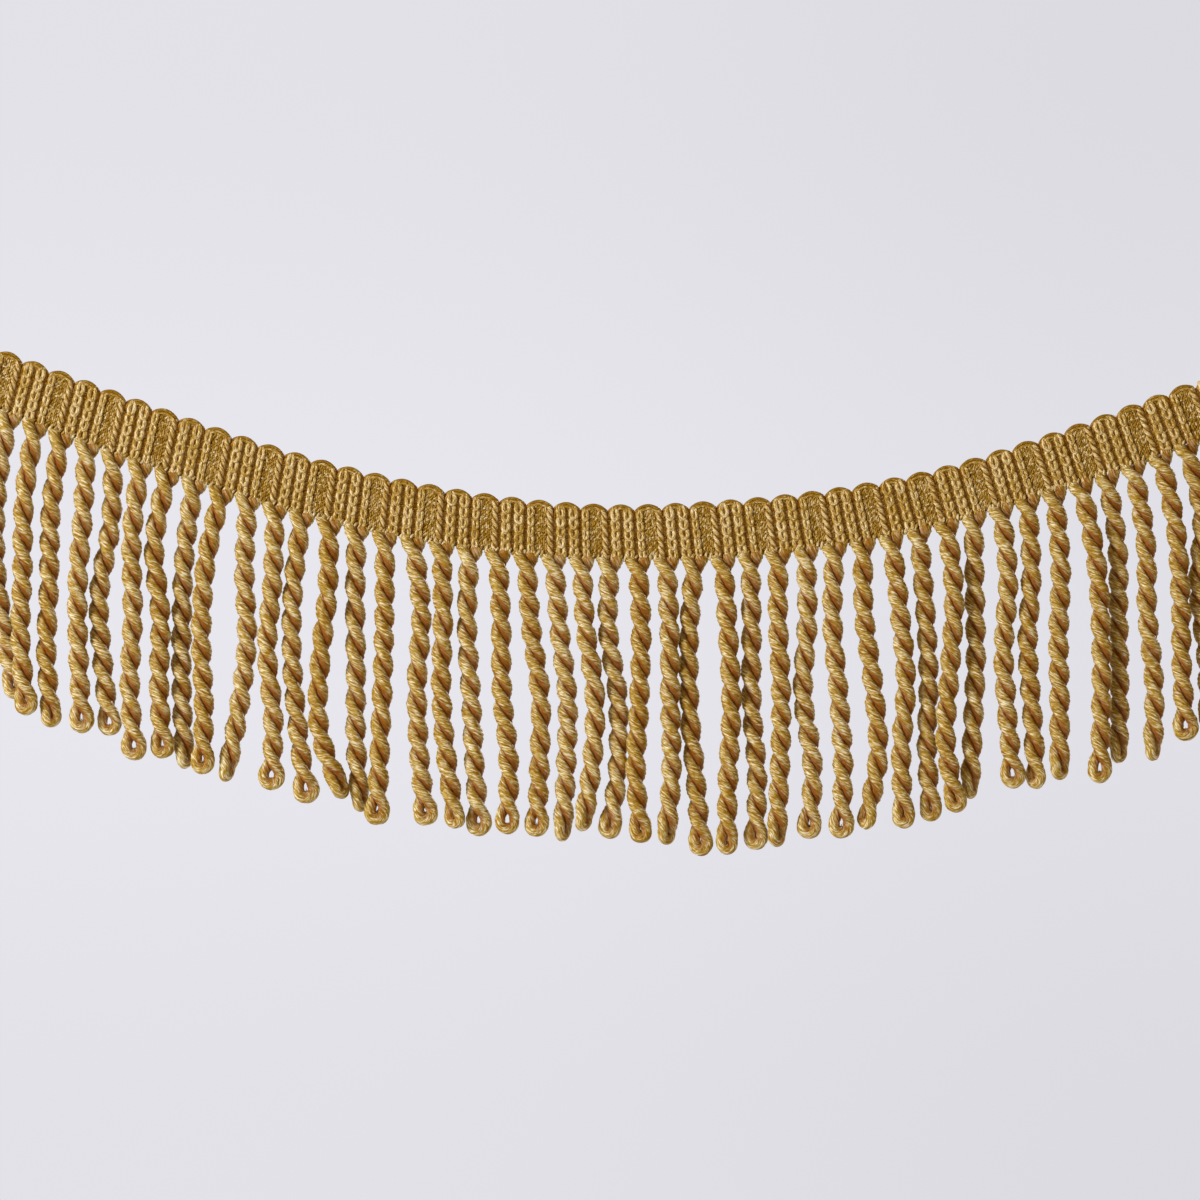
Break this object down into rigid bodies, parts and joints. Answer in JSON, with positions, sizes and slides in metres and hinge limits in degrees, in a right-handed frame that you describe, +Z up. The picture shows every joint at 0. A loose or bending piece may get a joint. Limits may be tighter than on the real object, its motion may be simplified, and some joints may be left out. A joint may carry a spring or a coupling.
{
  "type": "cord fringe trim",
  "caption": "Gold-brown fringe trim hung in a swag: a ribbed, scalloped knitted heading over a skirt of two-ply twisted cords that end in eyes.",
  "frame": {"origin": "on the heading's flat back, at the middle of its height where the swag hangs lowest", "axes": "+X along the trim to the viewer's right, +Z up, the back faces +Y and the front faces -Y"},
  "size_m": [0.3318, 0.0107, 0.1335],
  "materials": {
    "heading_yarn": "satin viscose yarn, knitted",
    "cord_yarn": "satin viscose yarn, twisted"
  },
  "bodies": {
    "root": {"heading": "heading_yarn", "skirt": "cord_yarn"}
  },
  "joints": []
}
